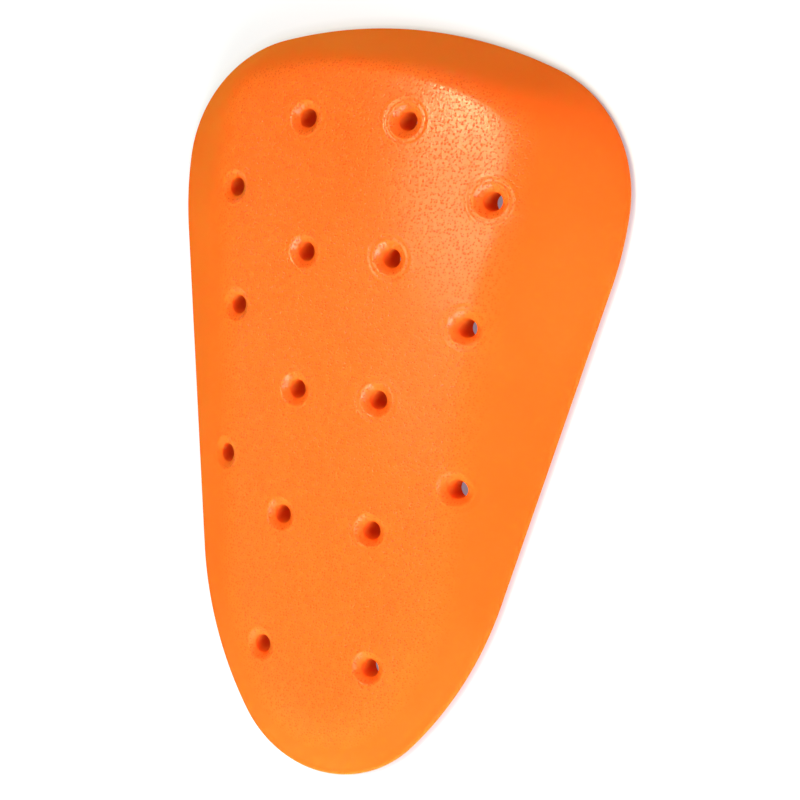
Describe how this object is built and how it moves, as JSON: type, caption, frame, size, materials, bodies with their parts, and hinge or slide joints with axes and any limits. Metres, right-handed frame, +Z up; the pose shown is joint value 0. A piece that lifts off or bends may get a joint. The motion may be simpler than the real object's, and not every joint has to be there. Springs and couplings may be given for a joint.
{
  "type": "hip protector pad",
  "caption": "Egg-shaped moulded foam hip protector pad: domed face, sloping flanks down to a rounded rim, hollow inner side and straight vents through it.",
  "frame": {"origin": "in the rim's resting plane, midway along and across the pad", "axes": "+Z up through the domed face, +Y towards the broad end, +X across the pad"},
  "size_m": [0.1314, 0.2, 0.0283],
  "materials": {
    "foam": "soft satin, finely pitted on the crown and smooth on the flanks"
  },
  "bodies": {
    "root": {"impact_pad": "foam"}
  },
  "joints": []
}
